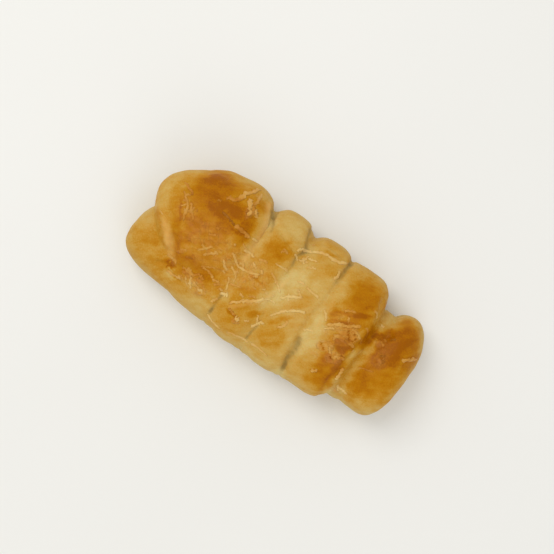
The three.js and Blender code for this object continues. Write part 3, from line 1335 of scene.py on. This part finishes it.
@dataclass(frozen=True)
class CrustFinish:
    """Egg-washed crust: cream where it stretched, golden on the crowns, dull and paler in the creases under
    painted shade.

    Scales are in lumps per metre, and the levels of the lower sides' painted shade in millimetres up from the
    tray.
    The folds take a painted highlight, partly their paler stretched dough. A relief is the strength of a bump
    and its reach in millimetres.
    """

    stops: tuple[tuple[float, str], ...] = (
        (0.0, "d2b670"),
        (0.25, "caa355"),
        (0.45, "c49239"),
        (0.6, "bc8119"),
        (0.75, "b37200"),
        (0.9, "a96500"),
        (1.0, "9b5700"),
    )
    # The crease colour is painted shade, the fold colour a painted highlight that is partly the paler stretched
    # dough, and the lower-side colour painted shade.
    crease_shade_colour: str = "8c6e33"
    pale_fold_and_highlight_colour: str = "e2ae60"
    film_colour: str = "d08c44"
    lower_side_shade_colour: str = "b39b5e"
    # How far each fine pattern moves the browning.
    broad_scale: float = 60.0
    fleck_scale: float = 640.0
    speck_scale: float = 1400.0
    mottle: float = 0.22
    broad: float = 0.18
    blister: float = 0.07
    stroke: float = 0.07
    fleck: float = 0.13
    speck: float = 0.06
    thread: float = 0.09
    # How strongly each colour covers the browned dough.
    film: float = 0.42
    # flank is the strength of the painted shade on the lower sides, between the two levels that follow.
    flank: float = 0.5
    lower_side_shade_levels: tuple[float, float] = (4, 30)
    # crease is the strength of the painted shade in the creases, and the next the painted highlight on the
    # paler folds.
    crease: float = 0.75
    pale_fold_and_highlight: float = 0.75
    gloss: float = 0.42
    dull: float = 0.62
    brown_shine: float = 0.16
    flesh: Flesh = Flesh(0.1, (1.0, 0.45, 0.16), 2.2, 0.065)
    relief: tuple[float, float] = (0.75, 0.8)
    film_relief: tuple[float, float] = (0.8, 0.6)

    def material(self) -> bpy.types.Material:
        """Dresses the crust.

        Returns:
            Its material.
        """
        material, sheet, shader = new_material("golden_crust")
        place = sheet.add("ShaderNodeTexCoord").outputs["Object"]
        skin = BakedSkin().place(sheet, place, 1.0)
        brown, melt = sheet.stored("browning"), sheet.stored("melt")
        threads = sheet.math("MULTIPLY", self._threads(sheet, place), melt)
        bake = self._bake(sheet, place, skin, brown, melt)
        bake = sheet.math("SUBTRACT", bake, sheet.math("MULTIPLY", threads, self.thread), clamp=True)
        sheet.feed(shader.inputs["Base Color"], self._colour(sheet, place, bake, melt))
        rough = sheet.span(sheet.noise(place, 240.0, 4.0, 0.6), 0.3, 0.7, self.gloss, self.dull)
        matt = sheet.math("MULTIPLY", sheet.math("SUBTRACT", 0.6, brown), self.brown_shine)
        sheet.feed(shader.inputs["Roughness"], sheet.math("ADD", rough, matt, clamp=True))
        self.flesh.set_on(shader)
        strength, reach = self.relief
        bump = sheet.add(
            "ShaderNodeBump", Height=skin.outputs["Height"], Strength=strength, Distance=reach * MM
        )
        bubbled = sheet.math("MULTIPLY", melt, sheet.noise(place, 700.0, 4.0, 0.65))
        strength, reach = self.film_relief
        film_bump = sheet.add(
            "ShaderNodeBump",
            Height=sheet.plus(bubbled, threads, 0.5),
            Strength=strength,
            Distance=reach * MM,
            Normal=bump.outputs["Normal"],
        )
        sheet.feed(shader.inputs["Normal"], film_bump.outputs["Normal"])
        return material

    def _bake(
        self,
        sheet: NodeSheet,
        place: bpy.types.NodeSocket,
        skin: bpy.types.Node,
        brown: bpy.types.NodeSocket,
        melt: bpy.types.NodeSocket,
    ) -> bpy.types.NodeSocket:
        """How brown the crust is, with its fine patterns.

        Args:
            sheet: The material's nodes.
            place: The place on the surface.
            skin: The baked skin's node.
            brown: How brown the dough baked there.
            melt: How much cheese has soaked in there.

        Returns:
            The browning, from 0 to about 1.
        """
        bake = sheet.plus(brown, sheet.centred(skin.outputs["Mottle"]), self.mottle)
        broad = sheet.noise(place, self.broad_scale, 3.0, 0.6)
        bake = sheet.plus(bake, sheet.centred(broad), self.broad)
        bake = sheet.plus(bake, skin.outputs["Blister"], self.blister)
        strokes = sheet.span(self._strokes(sheet, place), 0.3, 0.7, -self.stroke, self.stroke)
        bake = sheet.math("ADD", bake, strokes)
        flecks = sheet.noise(place, self.fleck_scale, 5.0, 0.75)
        bake = sheet.plus(bake, melt, sheet.span(flecks, 0.34, 0.66, -self.fleck, self.fleck))
        specks = sheet.noise(place, self.speck_scale, 2.0, 0.6)
        return sheet.math("ADD", bake, sheet.span(specks, 0.3, 0.7, -self.speck, self.speck))

    def _colour(
        self,
        sheet: NodeSheet,
        place: bpy.types.NodeSocket,
        bake: bpy.types.NodeSocket,
        melt: bpy.types.NodeSocket,
    ) -> bpy.types.NodeSocket:
        """The crust's colour: the cheese film, painted shade on the flanks and creases, a painted highlight on
        the paler folds.

        Args:
            sheet: The material's nodes.
            place: The place on the surface.
            bake: How brown the crust is.
            melt: How much cheese has soaked in.

        Returns:
            The colour.
        """
        crease = sheet.stored("crease")
        height = sheet.add("ShaderNodeSeparateXYZ", Vector=place).outputs["Z"]
        bottom, top = self.lower_side_shade_levels
        # Painted shade darkens the lower sides and the creases, and a painted highlight, partly paler stretched
        # dough, pales the raised folds.
        layers = (
            (sheet.math("MULTIPLY", melt, self.film), self.film_colour),
            (sheet.span(height, bottom * MM, top * MM, self.flank, 0.0), self.lower_side_shade_colour),
            (sheet.span(crease, 0.1, 0.95, 0.0, self.crease), self.crease_shade_colour),
            (sheet.span(crease, -0.08, -0.75, 0.0, self.pale_fold_and_highlight), self.pale_fold_and_highlight_colour),
        )
        colour = sheet.ramp(bake, self.stops)
        for amount, code in layers:
            colour = sheet.mix(amount, colour, linear(code))
        return colour

    def _strokes(self, sheet: NodeSheet, place: bpy.types.NodeSocket) -> bpy.types.NodeSocket:
        """Long soft streaks where the egg wash was brushed on at a slant."""
        return sheet.noise(sheet.stretched(place, 40.0, (4.0, 1.0, 1.6)), 300.0, 3.0, 0.55)

    def _threads(self, sheet: NodeSheet, place: bpy.types.NodeSocket) -> bpy.types.NodeSocket:
        """Thin crossing lines: the finest threads of melted cheese.

        Args:
            sheet: The material's nodes.
            place: The place on the surface.

        Returns:
            1 on a line and 0 between them.
        """
        lines = []
        for turn, scale in ((28.0, 150.0), (-52.0, 190.0)):
            turned = sheet.stretched(place, turn, (3.2, 1.0, 1.0))
            wave = sheet.math("ABSOLUTE", sheet.centred(sheet.noise(turned, scale, 2.0)))
            lines.append(sheet.span(wave, 0.004, 0.02, 1.0, 0.0))
        return sheet.math("MAXIMUM", *lines)


@dataclass(frozen=True)
class CheeseFinish:
    """Melted cheese strands: pale yellow and waxy, toasted brown at the tips."""

    stops: tuple[tuple[float, str], ...] = (
        (0.0, "dcb870"),
        (0.3, "d4a455"),
        (0.55, "c88d38"),
        (0.8, "b9751c"),
        (1.0, "975a06"),
    )
    grain: float = 2.4
    mottle: float = 0.5
    gloss: float = 0.34
    dull: float = 0.56
    flesh: Flesh = Flesh(0.1, (1.0, 0.6, 0.25), 1.2, 0.15)
    relief: tuple[float, float] = (0.8, 0.5)

    def material(self) -> bpy.types.Material:
        """Dresses the cheese.

        Returns:
            Its material.
        """
        material, sheet, shader = new_material("melted_cheese")
        place = sheet.add("ShaderNodeTexCoord").outputs["Object"]
        skin = BakedSkin().place(sheet, place, self.grain)
        mottle = sheet.math("MULTIPLY", sheet.centred(skin.outputs["Mottle"]), self.mottle)
        toast = sheet.math("ADD", sheet.stored("toast"), mottle, clamp=True)
        sheet.feed(shader.inputs["Base Color"], sheet.ramp(toast, self.stops))
        rough = sheet.span(skin.outputs["Mottle"], 0.3, 0.7, self.gloss, self.dull)
        sheet.feed(shader.inputs["Roughness"], rough)
        self.flesh.set_on(shader)
        strength, reach = self.relief
        bump = sheet.add(
            "ShaderNodeBump", Height=skin.outputs["Height"], Strength=strength, Distance=reach * MM
        )
        sheet.feed(shader.inputs["Normal"], bump.outputs["Normal"])
        return material


@dataclass(frozen=True)
class FloorFinish:
    """A plain pale matt surface with the faintest unevenness."""

    light: str = "efede7"
    shade: str = "e9e7e0"
    roughness: float = 0.7

    def material(self) -> bpy.types.Material:
        """Dresses the floor.

        Returns:
            Its material.
        """
        material, sheet, shader = new_material("pale_floor")
        place = sheet.add("ShaderNodeTexCoord").outputs["Object"]
        colour = sheet.mix(sheet.noise(place, 3.0, 2.0), linear(self.light), linear(self.shade))
        sheet.feed(shader.inputs["Base Color"], colour)
        shader.inputs["Roughness"].default_value = self.roughness
        return material


# ---------------------------------------------------------------- the studio


@dataclass(frozen=True)
class Panel:
    """A square panel light that faces the roll: its place and its side in metres, and its power in watts."""

    name: str
    place: tuple[float, float, float]
    side: float
    power: float

    def build(self) -> None:
        """Hangs the light."""
        data = bpy.data.lights.new(self.name, "AREA")
        data.size = self.side
        data.energy = self.power
        lamp = bpy.data.objects.new(self.name, data)
        lamp.location = self.place
        lamp.rotation_euler = (-Vector(self.place)).to_track_quat("-Z", "Y").to_euler()
        bpy.context.scene.collection.objects.link(lamp)


@dataclass
class Studio:
    """The pale floor, the soft lights and the camera that looks straight down on the roll.

    Lengths are in metres, apart from the lens and its sensor in millimetres. The turn is in degrees.
    """

    floor_size: float = 24.0
    key: Panel = Panel("key", (-0.75, 0.3, 1.15), 0.8, 6.8)
    fill: Panel = Panel("fill", (0.7, -0.75, 0.8), 0.9, 2.4)
    sky: tuple[float, float, float, float] = (0.98, 0.99, 1.0, 1.0)
    sky_strength: float = 0.73
    turn: float = 35.7
    lens: float = 60.0
    sensor: float = 36.0
    frame_width: float = 0.2792
    level: float = 0.015
    centre: tuple[float, float] = (-4.45 * MM, 4.41 * MM)

    def build(self) -> None:
        """Makes the floor, the lights and the camera."""
        self._floor()
        self._lights()
        self._camera()

    def _floor(self) -> None:
        """The floor under the roll."""
        bm = bmesh.new()
        bmesh.ops.create_grid(bm, x_segments=4, y_segments=4, size=self.floor_size / 2)
        floor = mesh_object("floor", bm, smooth=False)
        floor.data.materials.append(FloorFinish().material())

    def _lights(self) -> None:
        """A wide key light over the head's side, a weak fill, and even light from all round."""
        self.key.build()
        self.fill.build()
        world = bpy.data.worlds.new("studio")
        world.use_nodes = True
        backdrop = world.node_tree.nodes["Background"]
        backdrop.inputs["Color"].default_value = self.sky
        backdrop.inputs["Strength"].default_value = self.sky_strength
        bpy.context.scene.world = world
        bpy.context.scene.view_settings.view_transform = "Standard"

    def _camera(self) -> None:
        """The camera over the roll, turned so that the tail points to the lower right."""
        data = bpy.data.cameras.new("camera")
        data.lens = self.lens
        data.sensor_width = self.sensor
        camera = bpy.data.objects.new("camera", data)
        camera.location = (*self.centre, self.level + self.frame_width * self.lens / self.sensor)
        camera.rotation_euler = (0, 0, math.radians(self.turn))
        bpy.context.scene.collection.objects.link(camera)
        bpy.context.scene.camera = camera


def report(piece: bpy.types.Object) -> None:
    """Logs a finished piece and its size."""
    size = ", ".join(f"{side / MM:.1f}" for side in piece.dimensions)
    LOG.info("%s: %d faces, %s mm", piece.name, len(piece.data.polygons), size)


def main() -> None:
    """Builds the roll, its cheese and the studio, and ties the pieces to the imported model."""
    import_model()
    low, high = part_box("bread_roll")
    plan = Plan()
    crust = Dough(low, high, plan).build()
    crust.data.materials.append(CrustFinish().material())
    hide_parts("bread_roll")
    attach(crust, "root")
    report(crust)
    cheese = CheeseShreds(crust, plan).build()
    cheese.data.materials.append(CheeseFinish().material())
    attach(cheese, "root")
    report(cheese)
    Studio().build()


if __name__ == "__main__":
    logging.basicConfig(level=logging.INFO, format="%(message)s")
    main()
